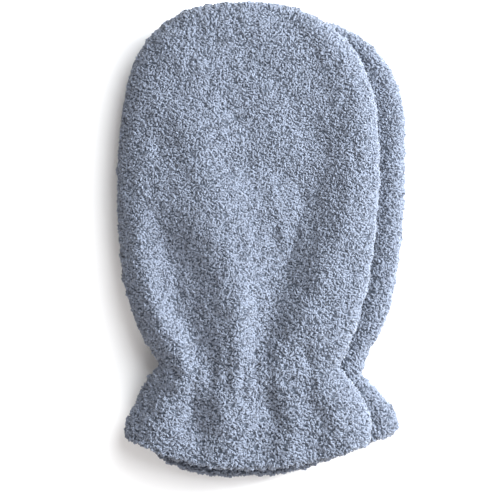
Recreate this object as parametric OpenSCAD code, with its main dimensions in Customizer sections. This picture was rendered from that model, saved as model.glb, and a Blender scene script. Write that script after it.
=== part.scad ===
// A pair of terry wash mitts, one lying on the other, palm side up.
// Each mitt is two terry panels sewn together round the sides and the tip,
// with a gathered elastic neck and a flared double cuff that forms the mouth.
// +Y runs from the hem to the tip, +Z is up, and the lower mitt rests on z = 0.

/* [Mitt outline] */
// Length of a mitt at its centreline, from the hem to the tip
mitt_length = 260; // [240:5:290]
// Widest flat width of the hand pocket
pocket_width = 148; // [130:1:165]
// Distance from the hem to the widest place
widest_y = 165; // [150:5:180]
// Squareness of the round tip, 2 being an ellipse
tip_power = 2.7; // [2:0.1:3.2]
// Flat width at the gathered neck
neck_width = 101; // [90:1:120]
// Distance from the hem to the middle of the neck
neck_y = 50; // [44:1:60]
// Flat width of the flared cuff
cuff_width = 140; // [125:1:155]
// Distance from the hem to the widest place of the cuff
cuff_y = 10; // [6:1:16]
// How far the hem bows down in the middle
hem_bow = 13; // [0:1:18]

/* [Mitt thickness] */
// Thickness of a mitt over the hand pocket
pocket_thick = 17; // [16:0.5:20]
// Thickness of a mitt at the neck
neck_thick = 17.4; // [17:0.2:22]
// Thickness of a mitt at the cuff
cuff_thick = 17.6; // [17.4:0.2:24]
// Radius of the rounded side edges
edge_radius = 14; // [12:1:20]
// Depth of the gathers at the neck
gather_depth = 1.8; // [0:0.1:2]
// Number of gathers across one side
gather_count = 5; // [3:1:5]

/* [Cloth] */
// Thickness of the terry cloth with its pile
terry_thick = 3.2; // [2.8:0.1:3.6]
// Thickness of the cuff's turned-in facing
facing_thick = 1.4; // [1:0.1:1.6]
// Clear height of the casing between panel and facing
casing_gap = 1.6; // [1.5:0.1:2]

/* [Elastic and thread] */
// Width of the elastic band
elastic_width = 8; // [6:1:10]
// Thickness of the elastic band
elastic_thick = 0.8; // [0.6:0.1:0.9]
// Radius of the overlocked seam bead inside the pocket
overlock_radius = 1.3; // [1:0.1:1.4]
// Radius of the sewing thread
thread_radius = 0.3; // [0.2:0.05:0.35]
// Length of one stitch
stitch_length = 3; // [2:0.5:4]
// Gap between two stitches
stitch_gap = 1.2; // [0.8:0.2:2]
// Distance of each stitch row from the middle of the neck
stitch_row_offset = 7; // [6:0.5:9]

/* [Pair] */
// How far the lower mitt lies to the right of the upper one
pair_shift_x = 15.7; // [0:0.1:25]
// How far the lower mitt lies below the upper one, towards the hem
pair_shift_y = 6.2; // [0:0.1:12]
// Clearance between the two mitts
pair_clearance = 0.6; // [0.5:0.1:2]
// Overhang over which the upper mitt's edge would sag to the floor
droop_reach = 40; // [30:5:60]

/* [Hidden] */

PALM = 1;
BACK = -1;
UPPER = 1;
LOWER = 0;

pocket_half = pocket_width / 2;
neck_half = neck_width / 2;
cuff_half = cuff_width / 2;
tip_height = mitt_length - widest_y;

// Share of the thickness below the side seam, which is the flatter side.
seam_share = 0.42;
// The hem's corners draw in by this much.
hem_corner = 2;
// The bow fades out at this distance from the hem.
bow_end_y = 100;
// The neck's thickness reaches the pocket's over this length.
neck_blend = 60;
// The neck's thickness reaches the cuff's over this length.
cuff_blend = 35;
// Half length of the gathers along the mitt.
gather_reach = 30;

facing_outer = terry_thick + casing_gap;
facing_inner = facing_outer + facing_thick;
elastic_outer = terry_thick + 0.3;
elastic_inner = elastic_outer + elastic_thick;
overlock_inset = terry_thick + overlock_radius + 0.5;
bartack_radius = 0.2;
bartack_inset = elastic_inner + bartack_radius + 0.02;
bartack_count = 5;
bartack_pitch = 2.5;

columns = 30;
cuff_rows = 8;
pocket_rows = 8;
// The facing ends on the pocket's second row past the neck.
facing_rows = cuff_rows + 2;
// How strongly the pocket's rows bunch at the neck, where the outline turns fastest.
row_bunching = 1.6;
// How evenly the columns are spread, from 0 for bunched at the sides to 1 for even.
even_share = 0.3;
// Where the tip's last row lies on its quarter turn, in degrees.
last_turn = 87;
tip_rows = 11;
last_row = cuff_rows + pocket_rows + tip_rows;
overlock_rings = 56;
overlock_sides = 6;
overlock_start_y = row_y(facing_rows, 0) + 1;

terry = [0.60, 0.65, 0.73];
terry_shade = [0.54, 0.59, 0.67];
facing_colour = [0.50, 0.55, 0.63];
elastic_colour = [0.90, 0.90, 0.88];
thread_colour = [0.66, 0.70, 0.77];

function clamp(t) = min(1, max(0, t));
function mix(a, b, t) = a + (b - a) * t;
function ease(t) = let (c = clamp(t)) c * c * (3 - 2 * c);
// A quarter round from 0 at the edge to 1 at the flat.
function round_edge(t) = let (c = clamp(t)) sqrt(1 - (1 - c) * (1 - c));

// ---- The mitt's outline and thickness, at the distance y from the hem ----

function tip_half_width(y, inset) =
    (pocket_half - inset)
    * pow(max(0, 1 - pow((y - widest_y) / (tip_height - inset), tip_power)), 1 / tip_power);

function neck_to_pocket(y) =
    mix(neck_half, pocket_half, pow(sin(90 * (y - neck_y) / (widest_y - neck_y)), 0.75));

function neck_to_cuff(y) = mix(neck_half, cuff_half, sin(90 * (neck_y - y) / (neck_y - cuff_y)));

function cuff_to_hem(y) = cuff_half - hem_corner * pow(1 - y / cuff_y, 2);

function half_width(y, inset = 0) =
    y >= widest_y ? tip_half_width(y, inset)
    : y >= neck_y ? neck_to_pocket(y) - inset
    : y >= cuff_y ? neck_to_cuff(y) - inset
    : cuff_to_hem(y) - inset;

function thickness(y) =
    y >= neck_y ? mix(neck_thick, pocket_thick, ease((y - neck_y) / neck_blend))
    : mix(neck_thick, cuff_thick, ease((neck_y - y) / cuff_blend));

function bow(y) = y < bow_end_y ? hem_bow * pow(1 - y / bow_end_y, 1.1) : 0;

function seam_height(y) = seam_share * thickness(y);

// Gathers are grooves between crests, deepest at the neck and gone at the sides.
function gather(u, y) =
    gather_depth * exp(-pow((y - neck_y) / gather_reach, 2))
    * (1 - pow(abs(u), 4)) * (0.5 - 0.5 * cos(360 * gather_count * (u + 1) / 2));

// Slope of the tip's outline, which narrows the rounded edge seen across it.
function edge_slope(y, inset) =
    y <= widest_y ? 0
    : (tip_half_width(y - 0.02, inset) - tip_half_width(y, inset)) / 0.02;

// ---- The pair ----

function mitt_place(mitt) =
    let (side = mitt == UPPER ? 1 : -1)
    [-side * pair_shift_x / 2, -mitt_length / 2 + side * pair_shift_y / 2];

// Distance inside the lower mitt's outline, negative outside it.
function inside_lower(x, y) =
    y < widest_y ? half_width(max(0, y)) - abs(x)
    : pocket_half * (1 - pow(
        pow(abs(x) / pocket_half, tip_power) + pow((y - widest_y) / tip_height, tip_power),
        1 / tip_power));

// The upper mitt lies on the lower one and sags where it overhangs it.
function drape(x, y) =
    let (
        at = mitt_place(LOWER),
        local_x = x - at[0],
        local_y = y - at[1],
        depth = inside_lower(local_x, local_y),
        share = ease((depth + droop_reach) / (droop_reach + 4))
    )
    (thickness(max(0, local_y)) + pair_clearance) * share;

// A flat-lying mitt point put where its mitt lies.
function placed(mitt, p) =
    let (at = mitt_place(mitt), x = p[0] + at[0], y = p[1] + at[1])
    [x, y, p[2] + (mitt == UPPER ? drape(x, y) : 0)];

// ---- Points on a layer ----
// inset is the layer's depth below the outer face, u runs from -1 to 1 across.

function layer_z(side, u, y, inset, closed) =
    let (
        width = half_width(y, inset),
        across = (1 - abs(u)) * width / sqrt(1 + pow(edge_slope(y, inset), 2)),
        rise = closed ? 0 : round_edge(across / (edge_radius - inset)),
        seam = seam_height(y),
        crest = side == PALM ? thickness(y) - seam - inset : seam - inset,
        groove = (inset == 0 && side == PALM) ? gather(u, y) : 0
    )
    seam + side * (crest * rise - groove * rise);

function layer_point(mitt, side, u, y, inset, closed = false) =
    placed(mitt, [
        u * half_width(y, inset),
        y + bow(y) * u * u,
        layer_z(side, u, y, inset, closed)
    ]);

function row_y(row, inset) =
    row <= cuff_rows ? neck_y * row / cuff_rows
    : row <= cuff_rows + pocket_rows
        ? mix(neck_y, widest_y, pow((row - cuff_rows) / pocket_rows, row_bunching))
    : widest_y + (tip_height - inset) * sin(last_turn * (row - cuff_rows - pocket_rows) / tip_rows);

// Columns lie closer together towards the rounded sides.
function column_u(column) =
    let (t = 2 * column / columns - 1)
    mix(sin(90 * t), t, even_share);

// ---- Solids made from points ----

// Two triangles. a, b, c, d run clockwise seen from outside.
function quad(a, b, c, d) = [[a, b, c], [a, c, d]];
function flip(faces) = [for (f = faces) [f[2], f[1], f[0]]];
function joined(lists) = [for (list = lists) for (item = list) item];

// The faces of a sheet: an outer grid, an inner grid, and the edges between them.
function sheet_faces(rows) =
    let (
        per_layer = (rows + 1) * (columns + 1),
        outer = function (r, c) r * (columns + 1) + c,
        inner = function (r, c) per_layer + r * (columns + 1) + c
    )
    joined([
        for (c = [0:columns - 1])
            quad(outer(rows, c + 1), outer(rows, c), inner(rows, c), inner(rows, c + 1)),
        for (c = [0:columns - 1])
            quad(outer(0, c), outer(0, c + 1), inner(0, c + 1), inner(0, c)),
        for (r = [0:rows - 1])
            quad(outer(r, columns), outer(r + 1, columns), inner(r + 1, columns), inner(r, columns)),
        for (r = [0:rows - 1])
            quad(outer(r + 1, 0), outer(r, 0), inner(r, 0), inner(r + 1, 0)),
        for (r = [0:rows - 1], c = [0:columns - 1])
            quad(inner(r, c), inner(r, c + 1), inner(r + 1, c + 1), inner(r + 1, c)),
        for (r = [0:rows - 1], c = [0:columns - 1])
            quad(outer(r, c), outer(r + 1, c), outer(r + 1, c + 1), outer(r, c + 1))
    ]);

module sheet(points, rows, side) {
    faces = sheet_faces(rows);
    polyhedron(points, side == PALM ? faces : flip(faces), convexity = 6);
}

// A tube of rings. closed joins the last ring to the first, and an open one gets end caps.
module ring_tube(rings, closed) {
    n = len(rings);
    sides = len(rings[0]);
    walls = joined([
        for (i = [0:closed ? n - 1 : n - 2], s = [0:sides - 1])
            let (a = i * sides, b = ((i + 1) % n) * sides, t = (s + 1) % sides)
            quad(a + s, b + s, b + t, a + t)
    ]);
    first_cap = [for (s = [0:sides - 1]) s];
    last_cap = [for (s = [0:sides - 1]) n * sides - 1 - s];
    caps = closed ? [] : [first_cap, last_cap];
    polyhedron(joined(rings), concat(walls, caps), convexity = 6);
}

// A straight piece of thread between two points.
module thread(from, to, radius) {
    way = to - from;
    reach = norm(way);
    translate(from)
        rotate([0, acos(way[2] / reach), atan2(way[1], way[0])])
            cylinder(h = reach, r = radius, $fn = 6);
}

// ---- The sub-parts ----

// One terry panel, from the hem to the tip.
module panel(mitt, side) {
    points = [
        for (inset = [0, terry_thick], row = [0:last_row], column = [0:columns])
            layer_point(mitt, side, column_u(column), row_y(row, inset), inset, row == last_row)
    ];
    color(side == PALM ? terry : terry_shade) sheet(points, last_row, side);
}

// The turned-in facing that doubles the cuff and closes the elastic's casing.
module facing(mitt, side) {
    points = [
        for (inset = [facing_outer, facing_inner], row = [0:facing_rows], column = [0:columns])
            layer_point(mitt, side, column_u(column), row_y(row, inset), inset)
    ];
    color(facing_colour) sheet(points, facing_rows, side);
}

// Points round the mitt at one distance from the hem and one depth, palm side first.
function loop_points(mitt, y, inset) = [
    for (i = [0:2 * columns - 1])
        let (first = i < columns)
        layer_point(mitt, first ? PALM : BACK, column_u(first ? i : 2 * columns - i), y, inset)
];

// The elastic ring in its casing at the neck.
module elastic_band(mitt) {
    half = elastic_width / 2;
    edges = [
        for (along = [-half, 0, half]) loop_points(mitt, neck_y + along, elastic_outer),
        for (along = [half, 0, -half]) loop_points(mitt, neck_y + along, elastic_inner)
    ];
    rings = [for (i = [0:2 * columns - 1]) [for (edge = edges) edge[i]]];
    color(elastic_colour) ring_tube(rings, true);
}

// The stitches that join the elastic's ends, at the middle of the back.
module elastic_bartack(mitt) {
    reach = elastic_width / 2 - 1;
    color(thread_colour)
        for (i = [0:bartack_count - 1]) {
            u = (i - (bartack_count - 1) / 2) * bartack_pitch / neck_half;
            thread(
                layer_point(mitt, BACK, u, neck_y - reach, bartack_inset),
                layer_point(mitt, BACK, u, neck_y + reach, bartack_inset),
                bartack_radius
            );
        }
}

// One row of stitches round the casing, lying on the facing inside the mouth.
module casing_stitches(mitt, y) {
    inset = facing_inner + thread_radius + 0.2;
    count = floor(2 * (half_width(y) - facing_inner) / (stitch_length + stitch_gap));
    share = stitch_length / (stitch_length + stitch_gap);
    color(thread_colour)
        for (side = [PALM, BACK], i = [0:count - 1]) {
            start = 0.94 * (2 * i / count - 1);
            end = 0.94 * (2 * (i + share) / count - 1);
            thread(
                layer_point(mitt, side, start, y, inset),
                layer_point(mitt, side, end, y, inset),
                thread_radius
            );
        }
}

// Where the overlocked seam runs inside the pocket: up one side, round the tip and down.
function overlock_at(t) =
    let (
        rise = t < 0.5 ? 2 * t : 2 - 2 * t,
        side = t < 0.5 ? -1 : 1,
        straight = 0.45,
        angle = 90 * (rise - straight) / (1 - straight),
        y = rise < straight
            ? mix(overlock_start_y, widest_y, rise / straight)
            : widest_y + (tip_height - overlock_inset) * pow(sin(angle), 2 / tip_power),
        x = rise < straight
            ? half_width(y, overlock_inset)
            : (pocket_half - overlock_inset) * pow(max(0, cos(angle)), 2 / tip_power)
    )
    [side * x, y + bow(y), seam_height(y)];

// The bead of overlock thread that binds the two panels' edges.
module seam_overlock(mitt) {
    step = 1 / overlock_rings;
    rings = [
        for (i = [0:overlock_rings])
            let (
                t = i * step,
                ahead = overlock_at(min(1, t + step / 2)) - overlock_at(max(0, t - step / 2)),
                across = [ahead[1], -ahead[0], 0] / norm([ahead[0], ahead[1]])
            )
            [
                for (s = [0:overlock_sides - 1])
                    let (turn = -360 * s / overlock_sides)
                    placed(mitt, overlock_at(t) + overlock_radius
                        * (cos(turn) * across + sin(turn) * [0, 0, 1]))
            ]
    ];
    color(thread_colour) ring_tube(rings, false);
}

panel(UPPER, PALM);  // upper_palm_panel
panel(UPPER, BACK);  // upper_back_panel
facing(UPPER, PALM);  // upper_palm_facing
facing(UPPER, BACK);  // upper_back_facing
elastic_band(UPPER);  // upper_elastic_band
elastic_bartack(UPPER);  // upper_elastic_bartack
seam_overlock(UPPER);  // upper_seam_overlock
casing_stitches(UPPER, neck_y + stitch_row_offset);  // upper_casing_stitches_tip_side
casing_stitches(UPPER, neck_y - stitch_row_offset);  // upper_casing_stitches_hem_side
panel(LOWER, PALM);  // lower_palm_panel
panel(LOWER, BACK);  // lower_back_panel
facing(LOWER, PALM);  // lower_palm_facing
facing(LOWER, BACK);  // lower_back_facing
elastic_band(LOWER);  // lower_elastic_band
elastic_bartack(LOWER);  // lower_elastic_bartack
seam_overlock(LOWER);  // lower_seam_overlock
casing_stitches(LOWER, neck_y + stitch_row_offset);  // lower_casing_stitches_tip_side
casing_stitches(LOWER, neck_y - stitch_row_offset);  // lower_casing_stitches_hem_side
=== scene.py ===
"""A pair of blue-grey terry wash mitts lying flat, one on the other, palm side up.

Each mitt is drawn in its own coordinates, in metres: x across from its middle line, y from the hem
to the tip, z up from its lowest side. ORIGIN says where each mitt lies in the frame. A layer of
cloth is named by its depth below the mitt's outer face, as in the CAD part.
"""

import math

import bpy
import numpy as np
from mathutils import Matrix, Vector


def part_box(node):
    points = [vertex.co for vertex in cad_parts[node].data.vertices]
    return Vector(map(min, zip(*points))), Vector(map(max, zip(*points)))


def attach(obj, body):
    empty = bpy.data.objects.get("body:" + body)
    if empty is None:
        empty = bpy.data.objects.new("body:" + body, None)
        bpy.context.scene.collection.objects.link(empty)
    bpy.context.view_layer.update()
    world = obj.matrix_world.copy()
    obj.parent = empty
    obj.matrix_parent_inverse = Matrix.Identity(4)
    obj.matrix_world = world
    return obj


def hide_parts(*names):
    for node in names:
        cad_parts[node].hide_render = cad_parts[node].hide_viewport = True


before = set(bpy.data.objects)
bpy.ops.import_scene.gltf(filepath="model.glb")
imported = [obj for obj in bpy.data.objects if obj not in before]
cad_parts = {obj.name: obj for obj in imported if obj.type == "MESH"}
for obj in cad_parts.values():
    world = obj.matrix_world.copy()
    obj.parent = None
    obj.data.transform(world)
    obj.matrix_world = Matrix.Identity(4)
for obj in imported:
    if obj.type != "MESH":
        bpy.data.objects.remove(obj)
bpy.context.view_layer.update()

MM = 0.001
PALM, BACK = 1, -1
SIDES = {"palm": PALM, "back": BACK}

# ---- The mitt's sizes, as in the CAD part ----

LENGTH = 260 * MM
POCKET_HALF = 74 * MM
WIDEST_Y = 165 * MM
TIP_POWER = 2.7
TIP_HEIGHT = LENGTH - WIDEST_Y
NECK_HALF = 50.5 * MM
NECK_Y = 50 * MM
NECK_FLARE = 0.75
CUFF_HALF = 70 * MM
CUFF_Y = 10 * MM
HEM_CORNER = 2 * MM
HEM_BOW = 13 * MM
BOW_END_Y = 100 * MM
BOW_POWER = 1.1
BOW_LIMIT = 1.1
POCKET_THICK = 17 * MM
NECK_THICK = 17.4 * MM
CUFF_THICK = 17.6 * MM
NECK_BLEND = 60 * MM
CUFF_BLEND = 35 * MM
SEAM_SHARE = 0.42
PAIR_CLEARANCE = 0.6 * MM

# ---- How the cloth rounds its edges, softer on the cuff, and how the upper mitt sags ----

EDGE_RADIUS = 14 * MM
EDGE_POWER = 3.6
CUFF_EDGE_RADIUS = 22 * MM
CUFF_EDGE_POWER = 2.3
CUFF_EDGE_END_Y = 42 * MM
EDGE_BLEND = 40 * MM
DROOP_REACH = 40 * MM
DRAPE_INSET = 4 * MM
FLOOR_GAP = 0.1 * MM

# ---- Depths of the cloth's layers below the outer face ----

GROUND_DEPTH = 1.2 * MM
GROUND_THICK = 1.0 * MM
FACING_DEPTH = 5.4 * MM
FACING_THICK = 0.9 * MM
FACING_END_Y = 62 * MM
ELASTIC_DEPTH = 3.4 * MM
ELASTIC_THICK = 0.9 * MM
ELASTIC_WIDTH = 8 * MM
HEM_ROLL = (FACING_DEPTH - GROUND_DEPTH) / 2

rng = np.random.default_rng(7)


def mix(a, b, t):
    return a + (b - a) * t


def ease(t):
    t = np.clip(t, 0, 1)
    return t * t * (3 - 2 * t)


def round_edge(t, power):
    """A cushioned quarter round from 0 at the edge to 1 at the flat, fuller with a higher power."""
    return (1 - (1 - np.clip(t, 0, 1)) ** power) ** (1 / power)


# ---- The mitt's outline and thickness at the distance y from the hem ----


def tip_half_width(y, depth):
    far = np.clip((y - WIDEST_Y) / (TIP_HEIGHT - depth), 0, 1)
    return (POCKET_HALF - depth) * (1 - far**TIP_POWER) ** (1 / TIP_POWER)


def half_width(y, depth=0.0):
    turn = math.pi / 2
    pocket_rise = np.sin(turn * np.clip((y - NECK_Y) / (WIDEST_Y - NECK_Y), 0, 1))
    cuff_rise = np.sin(turn * np.clip((NECK_Y - y) / (NECK_Y - CUFF_Y), 0, 1))
    pocket = mix(NECK_HALF, POCKET_HALF, pocket_rise**NECK_FLARE) - depth
    cuff = mix(NECK_HALF, CUFF_HALF, cuff_rise) - depth
    hem = CUFF_HALF - HEM_CORNER * (1 - y / CUFF_Y) ** 2 - depth
    below_neck = np.where(y >= CUFF_Y, cuff, hem)
    below_tip = np.where(y >= NECK_Y, pocket, below_neck)
    return np.where(y >= WIDEST_Y, tip_half_width(y, depth), below_tip)


def thickness(y):
    pocket = mix(NECK_THICK, POCKET_THICK, ease((y - NECK_Y) / NECK_BLEND))
    cuff = mix(NECK_THICK, CUFF_THICK, ease((NECK_Y - y) / CUFF_BLEND))
    return np.where(y >= NECK_Y, pocket, cuff)


def bow(y):
    return HEM_BOW * np.clip(1 - y / BOW_END_Y, 0, BOW_LIMIT) ** BOW_POWER


def edge_slope(y, depth):
    step = 0.02 * MM
    slope = (tip_half_width(y - step, depth) - tip_half_width(y, depth)) / step
    return np.where(y > WIDEST_Y, slope, 0)


# ---- Where the two mitts lie, from the frame ----


def corner_box(node):
    low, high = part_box(node)
    return np.array(low), np.array(high)


def mitt_origin(mitt):
    """The middle of a mitt's hem line, on the frame's floor."""
    low, high = corner_box(mitt + "_palm_panel")
    return np.array([(low[0] + high[0]) / 2, high[1] - LENGTH, 0.0])


ORIGIN = {mitt: mitt_origin(mitt) for mitt in ("upper", "lower")}


def inside(mitt, x, y):
    """Distance inside a mitt's outline, negative outside it, at a place in the frame."""
    x = np.abs(x - ORIGIN[mitt][0])
    y = y - ORIGIN[mitt][1]
    ahead = np.clip(y - WIDEST_Y, 0, None) / TIP_HEIGHT
    tip = POCKET_HALF * (1 - ((x / POCKET_HALF) ** TIP_POWER + ahead**TIP_POWER) ** (1 / TIP_POWER))
    return np.where(y < WIDEST_Y, half_width(np.clip(y, 0, None)) - x, tip)


def drape(x, y):
    """How high the upper mitt lies on the lower one, and how it sags past its edge."""
    share = ease((inside("lower", x, y) + DROOP_REACH) / (DROOP_REACH + DRAPE_INSET))
    return (thickness(np.clip(y - ORIGIN["lower"][1], 0, None)) + PAIR_CLEARANCE) * share


# ---- Folds of the palm side, which run from the gathered neck into the pocket and the cuff ----
# Each line is a crest or a trough: (y, x, height) along it, in millimetres.

POCKET_FOLDS = [
    [(40, -41, 0), (56, -36, 1.4), (82, -49, 2.6), (110, -60, 2.0), (128, -61, 0.6), (145, -60, 0)],
    [(40, -27, 0), (65, -26, -3.4), (87, -36, -4.8), (110, -41, -5.0), (132, -49, -3.2), (150, -54, 0)],
    [(40, -6, 0), (56, -5, 2.6), (87, -5, 4.2), (110, -10, 4.6), (132, -18, 4.4), (155, -23, 4.0),
     (177, -29, 3.2), (200, -32, 2.2), (235, -25, 0.6)],
    [(40, 2, 0), (56, 4, -2.4), (87, 9, -4.6), (110, 16, -5.4), (132, 20, -4.4), (155, 8, -2.8),
     (177, 0, -1.6), (200, -2, -1.2), (235, 0, -0.2)],
    [(40, 8, 0), (65, 8, -3.8), (87, 13, -5.4), (110, 20, -6.4), (132, 27, -6.6), (155, 32, -5.6),
     (177, 36, -3.8), (200, 38, -2.4), (235, 30, -0.4)],
    [(40, 31, 0), (65, 24, 1.8), (87, 36, 2.8), (110, 45, 3.2), (132, 54, 3.0), (155, 59, 2.4),
     (177, 62, 1.8), (200, 62, 1.4), (235, 48, 0.8)],
]
CUFF_FOLDS = [
    [(0, -54, 0.6), (34, -48, 1.6), (50, -38, 0.6)],
    [(0, -30, -0.6), (34, -27, -3.6), (50, -24, -1.6)],
    [(0, -10, 1.0), (34, -12, 3.2), (50, -8, 1.8)],
    [(0, 10, -0.4), (34, 12, -3.8), (50, 8, -1.8)],
    [(0, 24, 0.3), (34, 24, 1.0), (50, 18, 0.5)],
    [(0, 36, -0.3), (34, 34, -1.2), (50, 27, -0.8)],
    [(0, 54, 0.8), (34, 47, 1.6), (50, 38, 0.8)],
]
FOLD_LIMIT = 0.97
FOLD_BLEND_Y = 42 * MM
FOLD_BLEND = 12 * MM
RELIEF_FADE = 12 * MM
PUCKER_HEIGHT = 0.7 * MM
PUCKER_REACH = 11 * MM
# The line that the upper mitt's edge presses into the lower mitt.
PRESS_DEPTH = 2.2 * MM
PRESS_INSET = 1 * MM
PRESS_REACH = 6 * MM
# Small creases: the middle (x, y), reach across and along, turn of the long way in degrees, and
# depth, in millimetres.
CREASES = [
    (60, 172, 2.2, 8, 8, 1.8),
    (-28, 67, 2.6, 12, -32, 1.8),
    (-31, 33, 3.6, 9, -12, 1.8),
    (15, 31, 3.6, 10, 18, 1.8),
    (40, 27, 3.0, 9, 35, 1.0),
    (-42, 19, 1.8, 22, 88, 0.9),
    (33, 60, 2.4, 10, 25, 1.0),
]


def creases(x, y):
    depth = np.zeros_like(x)
    for mid_x, mid_y, wide, long, turn, deep in CREASES:
        cos, sin = math.cos(math.radians(turn)), math.sin(math.radians(turn))
        dx, dy = x / MM - mid_x, y / MM - mid_y
        across, lengthways = (dx * cos + dy * sin) / wide, (dy * cos - dx * sin) / long
        depth += deep * MM * np.exp(-(across**2) - lengthways**2)
    return depth


def along(values, ys, y):
    """A smooth curve through values at ys."""
    slopes = np.gradient(values, ys)
    i = np.clip(np.searchsorted(ys, y, side="right") - 1, 0, len(ys) - 2)
    span = ys[i + 1] - ys[i]
    t = np.clip((y - ys[i]) / span, 0, 1)
    a, b = values[i], values[i + 1]
    p, q = slopes[i] * span, slopes[i + 1] * span
    return a + t * (p + t * (3 * (b - a) - 2 * p - q + t * (2 * (a - b) + p + q)))


def folds(lines, x, y):
    """Height of a family of folds: level at the outline, and a half wave between neighbouring lines."""
    width = half_width(y)
    places, heights = [-width], [np.zeros_like(y)]
    for line in lines:
        ys, xs, zs = (np.array(column) * MM for column in zip(*line))
        places.append(np.clip(along(xs, ys, y), -FOLD_LIMIT * width, FOLD_LIMIT * width))
        heights.append(along(zs, ys, np.clip(y, ys[0], ys[-1])))
    places.append(width)
    heights.append(np.zeros_like(y))
    height = np.zeros_like(y)
    for k in range(len(places) - 1):
        t = (x - places[k]) / np.maximum(places[k + 1] - places[k], 1e-6)
        wave = mix(heights[k], heights[k + 1], ease(t))
        height = np.where((t >= 0) & (t <= 1), wave, height)
    return height


def puckers(x, y, count, phase):
    """Small gathers that the elastic draws up at the neck."""
    near = np.exp(-(((y - NECK_Y) / PUCKER_REACH) ** 2))
    uneven = 1.5 * np.sin(x / (9 * MM) + phase)
    wave = np.sin(2 * math.pi * (count * x / (2 * NECK_HALF) + phase) + uneven)
    return PUCKER_HEIGHT * near * wave


def waves(x, y, seed, count, shortest, longest):
    """A smooth random field of about unit size, from waves between two lengths in millimetres."""
    chance = np.random.default_rng(seed)
    total = np.zeros_like(x)
    for _ in range(count):
        angle, length = chance.uniform(0, math.pi), chance.uniform(shortest, longest) * MM
        turn = 2 * math.pi * (x * math.cos(angle) + y * math.sin(angle)) / length
        total += np.sin(turn + chance.uniform(0, 2 * math.pi))
    return total * math.sqrt(2 / count)


def lumps(x, y, seed):
    """The cloth's gentle unevenness."""
    return MM * (0.45 * waves(x, y, seed, 8, 22, 60) + 0.22 * waves(x, y, seed + 1, 14, 8, 16))


def relief(mitt, side, x, y):
    """What the cloth of one side stands above its plain form."""
    if side == BACK:
        return 0.4 * lumps(x, y, 5)
    if mitt == "lower":
        inside_upper = inside("upper", x + ORIGIN["lower"][0], y + ORIGIN["lower"][1])
        pressed = PRESS_DEPTH * np.exp(-(((inside_upper - PRESS_INSET) / PRESS_REACH) ** 2))
        return 0.5 * lumps(x, y, 3) + puckers(x, y, 12, 0.4) - pressed
    blend = ease((y - FOLD_BLEND_Y) / FOLD_BLEND)
    height = mix(folds(CUFF_FOLDS, x, y), folds(POCKET_FOLDS, x, y), blend)
    return height + lumps(x, y, 2) + puckers(x, y, 11, 0.1) - creases(x, y)


# ---- How each mitt lies: small shifts of its cloth ----
# The middle of a shift (u, y), its reach in u and in y, and how far it moves the cloth in x and y.
# u runs from -1 to 1 across the mitt, and the rest is in millimetres.

SHIFTS = {
    "upper": [
        (-1.0, 196, 0.80, 32, 2.0, 0.0),
        (-1.0, 104, 0.60, 22, -1.6, 0.0),
        (-1.0, 54, 0.50, 10, 2.6, 0.0),
        (-1.0, 23, 0.50, 13, 3.6, 0.0),
        (-1.0, 0, 0.35, 22, 0.0, 3.0),
        (1.0, 256, 0.90, 20, -4.0, 0.0),
    ],
    "lower": [
        (1.00, 222, 0.80, 32, 3.6, 0.0),
        (1.00, 64, 0.50, 14, -4.0, 0.0),
        (0.85, 0, 0.60, 26, 0.0, 10.5),
        (-0.70, 0, 0.35, 20, 0.0, -4.0),
    ],
}


def shift(mitt, u, y):
    moved = np.zeros(np.shape(u) + (3,))
    for mid_u, mid_y, reach_u, reach_y, dx, dy in SHIFTS[mitt]:
        weight = np.exp(-(((u - mid_u) / reach_u) ** 2) - ((y / MM - mid_y) / reach_y) ** 2)
        moved += weight[..., None] * np.array([dx, dy, 0]) * MM
    return moved


# ---- Points on a layer of cloth ----


def layer(mitt, side, u, y, depth):
    """Points of a layer in the frame. u runs from -1 to 1 across the mitt."""
    width = half_width(y, depth)
    across = (1 - np.abs(u)) * width / np.sqrt(1 + edge_slope(y, depth) ** 2)
    firm = ease((y - CUFF_EDGE_END_Y) / EDGE_BLEND)
    radius = mix(CUFF_EDGE_RADIUS, EDGE_RADIUS, firm) - depth
    rise = round_edge(across / radius, mix(CUFF_EDGE_POWER, EDGE_POWER, firm))
    thick = thickness(y)
    seam = SEAM_SHARE * thick
    crest = (thick - seam if side == PALM else seam) - depth
    x_own = u * width
    fade = ease(across / RELIEF_FADE)
    z = seam + side * (crest * rise + relief(mitt, side, x_own, y) * fade)
    x = ORIGIN[mitt][0] + x_own
    y_frame = ORIGIN[mitt][1] + y + bow(y) * u * u
    if mitt == "upper":
        z = z + drape(x, y_frame)
    return np.stack([x, y_frame, np.maximum(z, FLOOR_GAP)], -1) + shift(mitt, u, y)


def hem_layer(mitt, side, u, turn, inner):
    """Points on the folded hem. turn goes from 0 at the panel to 1 at the facing."""
    angle = math.pi * turn
    radius = HEM_ROLL - inner
    depth = GROUND_DEPTH + HEM_ROLL - radius * np.cos(angle)
    y = HEM_ROLL - radius * np.sin(angle)
    out = layer(mitt, side, u, np.full_like(u, HEM_ROLL), depth)
    out[..., 1] += y - HEM_ROLL
    return out


# ---- Meshes ----


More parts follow.
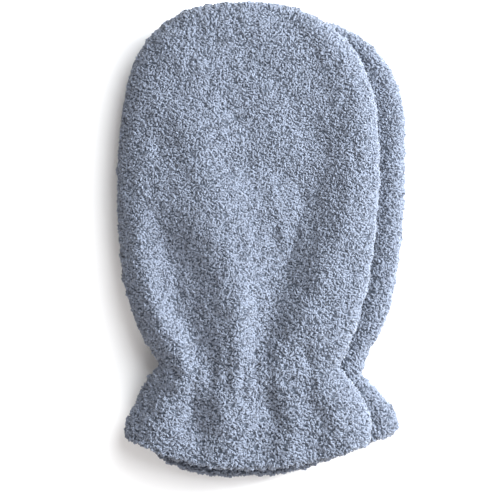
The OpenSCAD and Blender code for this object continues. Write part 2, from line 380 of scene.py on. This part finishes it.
def new_mesh(name, points, faces_by_size):
    """A smooth-shaded mesh from points and arrays of faces with the same number of corners each."""
    mesh = bpy.data.meshes.new(name)
    corners = np.concatenate([f.ravel() for f in faces_by_size]).astype(np.int32)
    sizes = np.concatenate([np.full(len(f), f.shape[1]) for f in faces_by_size]).astype(np.int32)
    starts = (np.cumsum(sizes) - sizes).astype(np.int32)
    mesh.vertices.add(len(points))
    mesh.vertices.foreach_set("co", points.astype(np.float32).ravel())
    mesh.loops.add(len(corners))
    mesh.loops.foreach_set("vertex_index", corners)
    mesh.polygons.add(len(sizes))
    mesh.polygons.foreach_set("loop_start", starts)
    mesh.polygons.foreach_set("loop_total", sizes)
    mesh.update(calc_edges=True)
    mesh.polygons.foreach_set("use_smooth", np.full(len(sizes), True))
    obj = bpy.data.objects.new(name, mesh)
    bpy.context.scene.collection.objects.link(obj)
    return obj


def grid_faces(rows, columns, flip=False, start=0):
    """Quads of a grid whose points are listed row by row."""
    i = start + np.arange(rows * columns).reshape(rows, columns)
    quads = np.stack([i[:-1, :-1], i[:-1, 1:], i[1:, 1:], i[1:, :-1]], -1).reshape(-1, 4)
    return quads[:, ::-1] if flip else quads


def border(rows, columns):
    """Indices round the edge of a grid."""
    i = np.arange(rows * columns).reshape(rows, columns)
    return np.concatenate([i[0, :-1], i[:-1, -1], i[-1, :0:-1], i[:0:-1, 0]])


def cloth_solid(name, outer, inner, side):
    """A thin closed solid between two grids of points."""
    rows, columns = outer.shape[:2]
    count = rows * columns
    edge = border(rows, columns)
    following = np.roll(edge, -1)
    rim = np.stack([edge, edge + count, following + count, following], -1)
    flip = side == BACK
    faces = np.concatenate([
        grid_faces(rows, columns, flip),
        grid_faces(rows, columns, not flip, count),
        rim[:, ::-1] if flip else rim,
    ])
    return new_mesh(name, np.concatenate([outer.reshape(-1, 3), inner.reshape(-1, 3)]), [faces])


def across_columns(count):
    """Places across a mitt, closer together towards its rounded sides."""
    t = np.linspace(-1, 1, count)
    return mix(np.sin(math.pi / 2 * t), t, 0.25)


PANEL_COLUMNS = 97
HEM_ROWS = 13
STRAIGHT_ROWS = 92
TIP_ROWS = 56
FACING_ROWS = 40
# The last row stops just short of the tip, where its width would be nothing.
TIP_TURN = math.radians(89.7)


def panel_rows(mitt, side, inner):
    """The grid of a panel's outer or inner face, from the facing round the hem to the tip."""
    u = across_columns(PANEL_COLUMNS)
    hem = [hem_layer(mitt, side, u, turn, inner) for turn in np.linspace(1, 0, HEM_ROWS)]
    depth = GROUND_DEPTH + inner
    straight = np.linspace(HEM_ROLL, WIDEST_Y, STRAIGHT_ROWS)[1:]
    turns = np.linspace(0, TIP_TURN, TIP_ROWS)[1:]
    ys = np.concatenate([straight, WIDEST_Y + (TIP_HEIGHT - depth) * np.sin(turns)])
    body = [layer(mitt, side, u, np.full_like(u, y), depth) for y in ys]
    return np.array(hem + body)


def panel(mitt, side_name):
    """A panel's cloth, and the grid that its pile stands on, whose normals point out."""
    side = SIDES[side_name]
    outer = panel_rows(mitt, side, 0.0)
    inner = panel_rows(mitt, side, GROUND_THICK)
    return cloth_solid(f"{mitt}_{side_name}_cloth", outer, inner, side), outer[::side]


def facing(mitt, side_name):
    """A facing's cloth, and the grid that its pile stands on, whose normals point into the mitt."""
    side = SIDES[side_name]
    u = across_columns(PANEL_COLUMNS)
    ys = np.linspace(HEM_ROLL, FACING_END_Y, FACING_ROWS)
    outer, inner = (
        np.array([layer(mitt, side, u, np.full_like(u, y), depth) for y in ys])
        for depth in (FACING_DEPTH, FACING_DEPTH + FACING_THICK)
    )
    return cloth_solid(f"{mitt}_{side_name}_facing_cloth", outer, inner, side), inner[::-side]


# ---- Elastic, threads and seam bead ----

ELASTIC_COLUMNS = 161
ELASTIC_LINES = 31
RIBS = 6
RIB_HEIGHT = 0.16 * MM
THREAD_SIDES = 8
STITCH_POINTS = 9
TACK_TURNS = 10
TACK_DEPTH = ELASTIC_DEPTH + ELASTIC_THICK + 0.1 * MM
TACK_ARCH = 0.2 * MM
TACK_RADIUS = 0.25 * MM
# Stitches along one facing, the share of its width that they span, and a stitch's share of its step.
STITCHES = 23
STITCHED_SHARE = 0.94
STITCH_SHARE = 0.71
STITCH_DEPTH = FACING_DEPTH + 0.5 * MM
STITCH_ARCH = 0.75 * MM
STITCH_RADIUS = 0.3 * MM
# The seam bead goes up one side, round the tip and down the other side.
BEAD_INSET = 3.5 * MM
BEAD_RINGS = 1101
BEAD_SIDES = 12
BEAD_STRAIGHT = 0.45
BEAD_RADIUS = 1.0
BEAD_THREAD = 0.25
BEAD_PITCH = 2.6 * MM


def from_above(obj):
    """Lays a mesh out for baking as it is seen from above, which suits very many small loops."""
    corners = np.zeros(len(obj.data.loops), np.int32)
    obj.data.loops.foreach_get("vertex_index", corners)
    places = np.zeros(len(obj.data.vertices) * 3, np.float32)
    obj.data.vertices.foreach_get("co", places)
    flat = places.reshape(-1, 3)[:, :2]
    low, reach = flat.min(0), np.ptp(flat, axis=0).max()
    uvs = 0.01 + 0.98 * (flat - low) / reach
    obj.data.uv_layers.new(name="OFBake").data.foreach_set("uv", uvs[corners].ravel())


def looped_solid(name, rings):
    """A closed ring whose cross-sections are the rows of points in rings."""
    count, sides = rings.shape[:2]
    i = np.arange(count * sides).reshape(count, sides)
    ahead, beside = np.roll(i, -1, axis=0), np.roll(i, -1, axis=1)
    both = np.roll(ahead, -1, axis=1)
    return new_mesh(name, rings.reshape(-1, 3), [np.stack([i, beside, both, ahead], -1).reshape(-1, 4)])


def elastic(mitt):
    """The ribbed elastic, once round the neck between the panels and the facings."""
    u = across_columns(ELASTIC_COLUMNS)
    shares = np.linspace(0, 1, ELASTIC_LINES)
    ribs = RIB_HEIGHT * np.abs(np.sin(RIBS * math.pi * shares))
    section = [(y, ELASTIC_DEPTH + RIB_HEIGHT - rib) for y, rib in zip(shares, ribs)]
    section += [(y, ELASTIC_DEPTH + ELASTIC_THICK) for y in shares[::-1]]
    halves = []
    for side, across in ((PALM, u[:-1]), (BACK, u[:0:-1])):
        lines = [
            layer(mitt, side, across, np.full_like(across, NECK_Y + (y - 0.5) * ELASTIC_WIDTH), depth)
            for y, depth in section
        ]
        halves.append(np.stack(lines, 1))
    return looped_solid(mitt + "_elastic_strip", np.concatenate(halves))


def threads(name, paths, radius):
    points, quads, caps = tubes(paths, np.full(paths.shape[:2], radius), THREAD_SIDES)
    return new_mesh(name, points, [quads, caps])


def lines_on(mitt, side, starts, ends, depth, arch):
    """Paths on a layer from starts to ends, given as (u, y), that arch away from it."""
    t = np.linspace(0, 1, STITCH_POINTS)
    place = mix(starts[:, None], ends[:, None], t[None, :, None])
    depths = depth + arch * np.sin(math.pi * t)[None] * np.ones((len(starts), 1))
    return layer(mitt, side, place[..., 0], place[..., 1], depths)


def bartack(mitt):
    """Zigzag stitches that hold the elastic's overlapped ends at the middle of the back.

    In millimetres, they run from -5 across the middle in steps of 2.5 a zigzag, 3 to either side.
    """
    k = np.arange(TACK_TURNS)
    u = (k // 2 * 2.5 - 5 + k % 2 * 1.25) * MM / NECK_HALF
    y = NECK_Y + 3 * MM * (1 - k % 2 * 2)
    turns = np.stack([u, y], -1)
    paths = lines_on(mitt, BACK, turns[:-1], turns[1:], TACK_DEPTH, TACK_ARCH)
    return threads(mitt + "_bartack_thread", paths, TACK_RADIUS)


def casing_stitches(mitt, row, y):
    """One row of stitches round the casing, on the facings inside the mouth."""
    first = STITCHED_SHARE * (2 * np.arange(STITCHES) / STITCHES - 1)
    last = first + STITCHED_SHARE * 2 * STITCH_SHARE / STITCHES
    level = np.full(STITCHES, y)
    starts, ends = np.stack([first, level], -1), np.stack([last, level], -1)
    paths = [lines_on(mitt, side, starts, ends, STITCH_DEPTH, STITCH_ARCH) for side in (PALM, BACK)]
    return threads(f"{mitt}_stitches_{row}", np.concatenate(paths), STITCH_RADIUS)


def seam_bead(mitt):
    """The overlocked edge inside the pocket: a cord of allowances wound round with thread."""
    start = corner_box(mitt + "_seam_overlock")[0][1] - ORIGIN[mitt][1]
    start = start - bow(start) * 0.9
    place = np.linspace(-1, 1, BEAD_RINGS)
    rise = 1 - np.abs(place)
    angle = math.pi / 2 * np.clip((rise - BEAD_STRAIGHT) / (1 - BEAD_STRAIGHT), 0, 1)
    tip_y = WIDEST_Y + (TIP_HEIGHT - BEAD_INSET) * np.sin(angle) ** (2 / TIP_POWER)
    tip_x = (POCKET_HALF - BEAD_INSET) * np.cos(angle) ** (2 / TIP_POWER)
    straight = rise < BEAD_STRAIGHT
    y = np.where(straight, mix(start, WIDEST_Y, rise / BEAD_STRAIGHT), tip_y)
    x = np.where(straight, half_width(y, BEAD_INSET), tip_x) * np.sign(place)
    y = y + np.where(straight, bow(y), 0)
    z = SEAM_SHARE * thickness(y)
    if mitt == "upper":
        z = z + drape(x + ORIGIN[mitt][0], y + ORIGIN[mitt][1])
    path = np.stack([x, y, z], -1) + ORIGIN[mitt] + shift(mitt, x / half_width(y), y)
    run = np.concatenate([[0], np.cumsum(np.linalg.norm(np.diff(path, axis=0), axis=1))])
    even = np.linspace(0, run[-1], BEAD_RINGS)
    path = np.stack([np.interp(even, run, path[:, k]) for k in range(3)], -1)
    way = np.gradient(path, axis=0)
    way /= np.linalg.norm(way, axis=1, keepdims=True)
    across = np.cross(way, [0, 0, 1.0])
    across /= np.linalg.norm(across, axis=1, keepdims=True)
    up = np.cross(across, way)
    turn = 2 * math.pi * np.arange(BEAD_SIDES) / BEAD_SIDES
    wound = np.cos(2 * math.pi * even[:, None] / BEAD_PITCH - turn)
    radius = (BEAD_RADIUS + BEAD_THREAD * np.clip(wound, -0.3, 1)) * MM
    ring = np.cos(turn)[:, None] * across[:, None] + np.sin(turn)[:, None] * up[:, None]
    points = (path[:, None] + radius[..., None] * ring).reshape(-1, 3)
    i = np.arange(BEAD_RINGS * BEAD_SIDES).reshape(BEAD_RINGS, BEAD_SIDES)
    j = np.roll(i, -1, axis=1)
    quads = np.stack([i[:-1], i[1:], j[1:], j[:-1]], -1).reshape(-1, 4)
    return new_mesh(mitt + "_seam_thread", points, [quads, np.stack([i[0], i[-1, ::-1]])])


# ---- Pile ----

# Steps that spread points evenly over a square, and how far each point strays.
EVEN_STEPS = (0.7548776662, 0.5698402910)
STRAY = 0.35
LOOP_POINTS = 6
LOOP_SIDES = 3
ROOT_DEPTH = 0.35 * MM
# A loop's size in millimetres, and then its other lengths in shares of that size.
LOOP_SIZES = (0.8, 1.2)
LOOP_REACH = (0.35, 0.62)
LOOP_HEIGHT = (0.9, 1.5)
LOOP_LEAN = 0.5
LOOP_TWIST = 0.3
LOOP_SWIRL = 0.35
YARN_RADIUS = (0.40, 0.50)
# The cuff's loops are coarser. Past its end they get finer, and they are plain at the blend's end.
CUFF_COARSENESS = 1.12
COARSE_END_Y = 30 * MM
COARSE_BLEND = 90 * MM
# Cracks between clumps of loops: the waves' seed, number, shortest and longest, and the crack's
# width and strength.
CRACKS = [(11, 24, 5, 11, 0.14, 1.0), (14, 30, 2.6, 5, 0.2, 0.8)]
CRACK_DEPTH = 0.6
# A loop's tone, and how much painted shade darkens it in a crack and towards its roots.
LOOP_TONES = (0.7, 1)
PAINTED_CRACK_SHADE = 0.8
PAINTED_ROOT_SHADE = 0.7
# The yarn's shading normals are turned towards the cloth's by this share. The upright part of the
# cloth's normal counts as at least this much, so that its rounded sides don't shade too dark.
FUZZ = 0.32
LEAST_UPRIGHT = 0.75


def even_points(grid, per_square_metre):
    """Evenly scattered points on a grid surface, with the surface's normals there."""
    a, b = grid[1:, 1:] - grid[:-1, :-1], grid[1:, :-1] - grid[:-1, 1:]
    normals = np.cross(a, b)
    areas = np.linalg.norm(normals, axis=-1) / 2
    normals /= np.maximum(2 * areas, 1e-12)[..., None]
    count = int(areas.sum() * per_square_metre)
    n = np.arange(count)
    jitter = STRAY / math.sqrt(count)
    down, over = (
        np.clip((0.5 + n * step) % 1 + rng.uniform(-jitter, jitter, count), 0, 0.99999)
        for step in EVEN_STEPS
    )
    row_share = np.concatenate([[0], np.cumsum(areas.sum(1))]) / areas.sum()
    i = np.clip(np.searchsorted(row_share, down, side="right") - 1, 0, len(areas) - 1)
    s = (down - row_share[i]) / np.maximum(row_share[i + 1] - row_share[i], 1e-12)
    shares = np.concatenate([np.zeros((len(areas), 1)), np.cumsum(areas, 1)], 1)
    shares /= shares[:, -1:]
    j = np.clip((shares[i] <= over[:, None]).sum(1) - 1, 0, areas.shape[1] - 1)
    t = (over - shares[i, j]) / np.maximum(shares[i, j + 1] - shares[i, j], 1e-12)
    s, t = s[:, None], t[:, None]
    near = mix(grid[i, j], grid[i, j + 1], t)
    far = mix(grid[i + 1, j], grid[i + 1, j + 1], t)
    return mix(near, far, s), normals[i, j]


def tangents(normals):
    """Two directions along the surface for each normal."""
    first = np.cross(normals, [0.3, 0.9, 0.1])
    first /= np.linalg.norm(first, axis=1, keepdims=True)
    return first, np.cross(normals, first)


def tubes(paths, radii, sides):
    """Closed round tubes along many paths with the same number of points: (points, quads, caps)."""
    count, length = paths.shape[:2]
    way = np.gradient(paths, axis=1)
    way /= np.maximum(np.linalg.norm(way, axis=2, keepdims=True), 1e-12)
    chord = paths[:, -1] - paths[:, 0]
    middle = paths[:, length // 2] - paths[:, 0]
    plane = np.cross(chord, middle)
    plane /= np.maximum(np.linalg.norm(plane, axis=1, keepdims=True), 1e-12)
    first = plane[:, None] - (plane[:, None] * way).sum(2, keepdims=True) * way
    first /= np.maximum(np.linalg.norm(first, axis=2, keepdims=True), 1e-12)
    second = np.cross(way, first)
    turn = 2 * math.pi * np.arange(sides) / sides
    ring = np.cos(turn)[:, None] * first[:, :, None] + np.sin(turn)[:, None] * second[:, :, None]
    points = paths[:, :, None] + radii[..., None, None] * ring
    i = np.arange(count * length * sides).reshape(count, length, sides)
    j = np.roll(i, -1, axis=2)
    quads = np.stack([i[:, :-1], j[:, :-1], j[:, 1:], i[:, 1:]], -1).reshape(-1, 4)
    caps = np.concatenate([i[:, 0, ::-1], i[:, -1]])
    return points.reshape(-1, 3), quads, caps


def pile(name, mitt, grid, per_square_metre, scale=1.0):
    """Terry loops that stand on a grid surface: small leaning arches of yarn."""
    roots, normals = even_points(grid, per_square_metre)
    past_cuff = ease((roots[:, 1] - ORIGIN[mitt][1] - COARSE_END_Y) / COARSE_BLEND)
    coarse = mix(CUFF_COARSENESS, 1.0, past_cuff)
    kept = rng.uniform(0, 1, len(roots)) < coarse**-2
    roots, normals, coarse = roots[kept], normals[kept], coarse[kept]
    count = len(roots)
    # The height counts in the random fields too, so that steep sides aren't streaked.
    x, y = roots[:, 0], roots[:, 1] + 0.6 * roots[:, 2]
    crack = sum(
        strength * np.exp(-((waves(x, y, *field) / width) ** 2)) for *field, width, strength in CRACKS
    )
    roots = roots - (CRACK_DEPTH * crack * MM * coarse)[:, None] * normals
    size = scale * coarse * rng.uniform(*LOOP_SIZES, count) * MM

    def vary(low, high):
        return (rng.uniform(low, high, count) * size)[:, None, None]

    def sway(amount):
        return (rng.normal(0, amount, count) * size)[:, None, None]

    one, two = tangents(normals)
    angle = rng.uniform(0, 2 * math.pi, count)[:, None]
    ahead = np.cos(angle) * one + np.sin(angle) * two
    aside = -np.sin(angle) * one + np.cos(angle) * two
    swirl = LOOP_SWIRL * np.stack([waves(x, y, 12, 20, 4, 10), waves(x, y, 13, 20, 4, 10), 0 * x], -1)
    t = np.linspace(0, 1, LOOP_POINTS)[None, :, None]
    arch = np.sin(math.pi * t)
    paths = (
        roots[:, None]
        - ahead[:, None] * vary(*LOOP_REACH) * np.cos(math.pi * t)
        + normals[:, None] * (vary(*LOOP_HEIGHT) * arch - ROOT_DEPTH)
        + aside[:, None] * (sway(LOOP_LEAN) * arch + sway(LOOP_TWIST) * np.sin(2 * math.pi * t))
        + (swirl * size[:, None])[:, None] * arch
    )
    radii = rng.uniform(*YARN_RADIUS, count) * size
    points, quads, caps = tubes(paths, radii[:, None] * np.ones((1, LOOP_POINTS)), LOOP_SIDES)
    each = LOOP_POINTS * LOOP_SIDES
    out = (points - np.repeat(paths.reshape(-1, 3), LOOP_SIDES, 0)) / np.repeat(radii, each)[:, None]
    upright = np.sign(normals[:, 2:]) * np.maximum(np.abs(normals[:, 2:]), LEAST_UPRIGHT)
    level = np.concatenate([normals[:, :2], upright], 1)
    level /= np.linalg.norm(level, axis=1, keepdims=True)
    soft = mix(out, np.repeat(level, each, 0), FUZZ)
    soft /= np.linalg.norm(soft, axis=1, keepdims=True)
    points[:, 2] = np.maximum(points[:, 2], FLOOR_GAP)
    obj = new_mesh(name, points, [quads, caps])
    shading = obj.data.attributes.new("custom_normal", "FLOAT_VECTOR", "POINT")
    shading.data.foreach_set("vector", soft.astype(np.float32).ravel())
    # Painted shade: the loop's random tone is darkened in the cracks and towards its roots.
    shade = np.clip(rng.uniform(*LOOP_TONES, count) - PAINTED_CRACK_SHADE * crack, 0, 1)
    shade = np.clip(shade[:, None] - PAINTED_ROOT_SHADE * (1 - arch[0, :, 0]), 0, 1)
    tone = obj.data.attributes.new("tone", "FLOAT", "POINT")
    tone.data.foreach_set("value", np.repeat(shade.ravel(), LOOP_SIDES))
    from_above(obj)
    return obj


# ---- Materials ----


def material(name, dark, light, scale, roughness, bump, sheen=0.0):
    """A fibre material: noise of the given scale mixes its two tones and drives roughness and bump."""
    mat = bpy.data.materials.new(name)
    mat.use_nodes = True
    nt = mat.node_tree
    shader = nt.nodes["Principled BSDF"]
    shader.inputs["Sheen Weight"].default_value = sheen
    shader.inputs["Sheen Roughness"].default_value = 0.5
    shader.inputs["Specular IOR Level"].default_value = 0.25
    place = nt.nodes.new("ShaderNodeTexCoord")
    noise = nt.nodes.new("ShaderNodeTexNoise")
    noise.inputs["Scale"].default_value = scale
    noise.inputs["Detail"].default_value = 3
    nt.links.new(place.outputs["Object"], noise.inputs["Vector"])
    tone = nt.nodes.new("ShaderNodeMix")
    tone.data_type = "RGBA"
    tone.inputs["A"].default_value = (*dark, 1)
    tone.inputs["B"].default_value = (*light, 1)
    nt.links.new(noise.outputs["Fac"], tone.inputs["Factor"])
    nt.links.new(tone.outputs["Result"], shader.inputs["Base Color"])
    gloss = nt.nodes.new("ShaderNodeMapRange")
    gloss.inputs["To Min"].default_value = roughness - 0.12
    gloss.inputs["To Max"].default_value = min(1.0, roughness + 0.08)
    nt.links.new(noise.outputs["Fac"], gloss.inputs["Value"])
    nt.links.new(gloss.outputs["Result"], shader.inputs["Roughness"])
    height = nt.nodes.new("ShaderNodeBump")
    height.inputs["Strength"].default_value = bump
    height.inputs["Distance"].default_value = 0.3 * MM
    nt.links.new(noise.outputs["Fac"], height.inputs["Height"])
    nt.links.new(height.outputs["Normal"], shader.inputs["Normal"])
    return mat


def yarn_material():
    """The pile's yarn: each loop has its own tone, darkened by painted shade in the cracks and towards
    its roots, and noise shifts it across the cloth.
    """
    mat = material("terry_yarn", (0.046, 0.053, 0.073), (0.275, 0.314, 0.397), 320, 0.95, 0.25, 0.3)
    nt = mat.node_tree
    shader = nt.nodes["Principled BSDF"]
    shader.inputs["Subsurface Weight"].default_value = 0.1
    shader.inputs["Subsurface Radius"].default_value = (1, 1, 1)
    shader.inputs["Subsurface Scale"].default_value = 0.4 * MM
    mixed = shader.inputs["Base Color"].links[0].from_node
    own = nt.nodes.new("ShaderNodeAttribute")
    own.attribute_name = "tone"
    blend = nt.nodes.new("ShaderNodeMix")
    blend.inputs["Factor"].default_value = 0.6
    noise = mixed.inputs["Factor"].links[0].from_node
    nt.links.new(noise.outputs["Fac"], blend.inputs["A"])
    nt.links.new(own.outputs["Fac"], blend.inputs["B"])
    nt.links.new(blend.outputs["Result"], mixed.inputs["Factor"])
    return mat


# The ground cloth under the pile is painted much darker than the yarn: painted shade between the loops.
PAINTED_SHADE_GROUND = material("terry_ground_painted_shade", (0.05, 0.06, 0.08), (0.10, 0.12, 0.155), 900, 0.95, 0.8)
TERRY_YARN = yarn_material()
ELASTIC = material("elastic_braid", (0.62, 0.62, 0.60), (0.80, 0.80, 0.77), 1500, 0.7, 0.4)
THREAD = material("sewing_thread", (0.30, 0.34, 0.42), (0.44, 0.49, 0.58), 2500, 0.6, 0.5, 0.1)


def dress(obj, mat, mitt, slot, *nodes):
    """Gives a piece its material and its body, and hides the CAD nodes that it stands for. The slot is
    not used.
    """
    obj.data.materials.append(mat)
    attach(obj, mitt + "_mitt")
    if nodes:
        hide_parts(*nodes)
    return obj


# ---- The mitts ----

PILE_DENSITY = 1.1e6
FACING_PILE_DENSITY = 0.6e6


def make_mitt(mitt):
    strip = dress(elastic(mitt), ELASTIC, mitt, "elastic", mitt + "_elastic_band")
    tack = dress(bartack(mitt), THREAD, mitt, "thread", mitt + "_elastic_bartack")
    bead = dress(seam_bead(mitt), THREAD, mitt, "thread", mitt + "_seam_overlock")
    rows = [
        dress(casing_stitches(mitt, row, y), THREAD, mitt, "thread", f"{mitt}_casing_stitches_{row}")
        for row, y in (("tip_side", NECK_Y + 7 * MM), ("hem_side", NECK_Y - 7 * MM))
    ]
    for side_name in ("back", "palm"):
        slot = "terry_" + side_name
        cloth, outer = panel(mitt, side_name)
        dress(cloth, PAINTED_SHADE_GROUND, mitt, slot, f"{mitt}_{side_name}_panel")
        loops = pile(f"{mitt}_{side_name}_pile", mitt, outer, PILE_DENSITY)
        dress(loops, TERRY_YARN, mitt, slot)
        lining, inner = facing(mitt, side_name)
        dress(lining, PAINTED_SHADE_GROUND, mitt, "terry_facing", f"{mitt}_{side_name}_facing")
        lining_loops = pile(f"{mitt}_{side_name}_facing_pile", mitt, inner, FACING_PILE_DENSITY, 0.7)
        dress(lining_loops, TERRY_YARN, mitt, "terry_facing")


for name in ("lower", "upper"):
    make_mitt(name)


# ---- Floor, light and camera ----


FLOOR_HALF = 2
COOL, WARM = (0.93, 0.968, 1.0), (1.0, 0.962, 0.945)


def floor():
    corners = FLOOR_HALF * np.array([[-1, -1, 0], [1, -1, 0], [1, 1, 0], [-1, 1, 0]])
    obj = new_mesh("floor", corners, [np.array([[0, 1, 2, 3]])])
    mat = bpy.data.materials.new("floor")
    mat.use_nodes = True
    shader = mat.node_tree.nodes["Principled BSDF"]
    shader.inputs["Base Color"].default_value = (0.97, 0.97, 0.97, 1)
    shader.inputs["Roughness"].default_value = 0.9
    obj.data.materials.append(mat)


def softbox(name, azimuth, elevation, distance, size, power, colour):
    """A round soft light that faces the mitts. Azimuth is from +X towards +Y. Angles are in degrees."""
    light = bpy.data.lights.new(name, "AREA")
    light.color = colour
    light.shape = "DISK"
    light.size = size
    light.energy = power
    obj = bpy.data.objects.new(name, light)
    bpy.context.scene.collection.objects.link(obj)
    turn, lift = math.radians(azimuth), math.radians(elevation)
    flat = distance * math.cos(lift)
    obj.location = (flat * math.cos(turn), flat * math.sin(turn), distance * math.sin(lift))
    obj.rotation_mode = "QUATERNION"
    obj.rotation_quaternion = (-obj.location).to_track_quat("-Z", "Y")


def lights():
    world = bpy.data.worlds.new("world")
    bpy.context.scene.world = world
    world.use_nodes = True
    background = world.node_tree.nodes["Background"]
    background.inputs["Color"].default_value = (*WARM, 1)
    background.inputs["Strength"].default_value = 0.42
    softbox("key_light", 42, 57, 1.1, 0.9, 15, COOL)
    softbox("raking_light", 20, 27, 1.15, 0.42, 31, COOL)
    softbox("fill_light", -80, 38, 1.2, 0.8, 6, WARM)


CAMERA_PLACE = (-0.0062, -0.0059, 1.0)
PICTURE_WIDTH = 0.280
PICTURE_LEVEL = 0.025
SENSOR_WIDTH = 36


def camera():
    """A camera straight above. Its picture is PICTURE_WIDTH wide at the height PICTURE_LEVEL."""
    data = bpy.data.cameras.new("camera")
    obj = bpy.data.objects.new("camera", data)
    bpy.context.scene.collection.objects.link(obj)
    obj.location = CAMERA_PLACE
    data.sensor_width = SENSOR_WIDTH
    data.lens = SENSOR_WIDTH * (CAMERA_PLACE[2] - PICTURE_LEVEL) / PICTURE_WIDTH
    data.clip_start, data.clip_end = 0.05, 10
    bpy.context.scene.camera = obj


floor()
lights()
camera()
bpy.context.scene.view_settings.view_transform = "Standard"
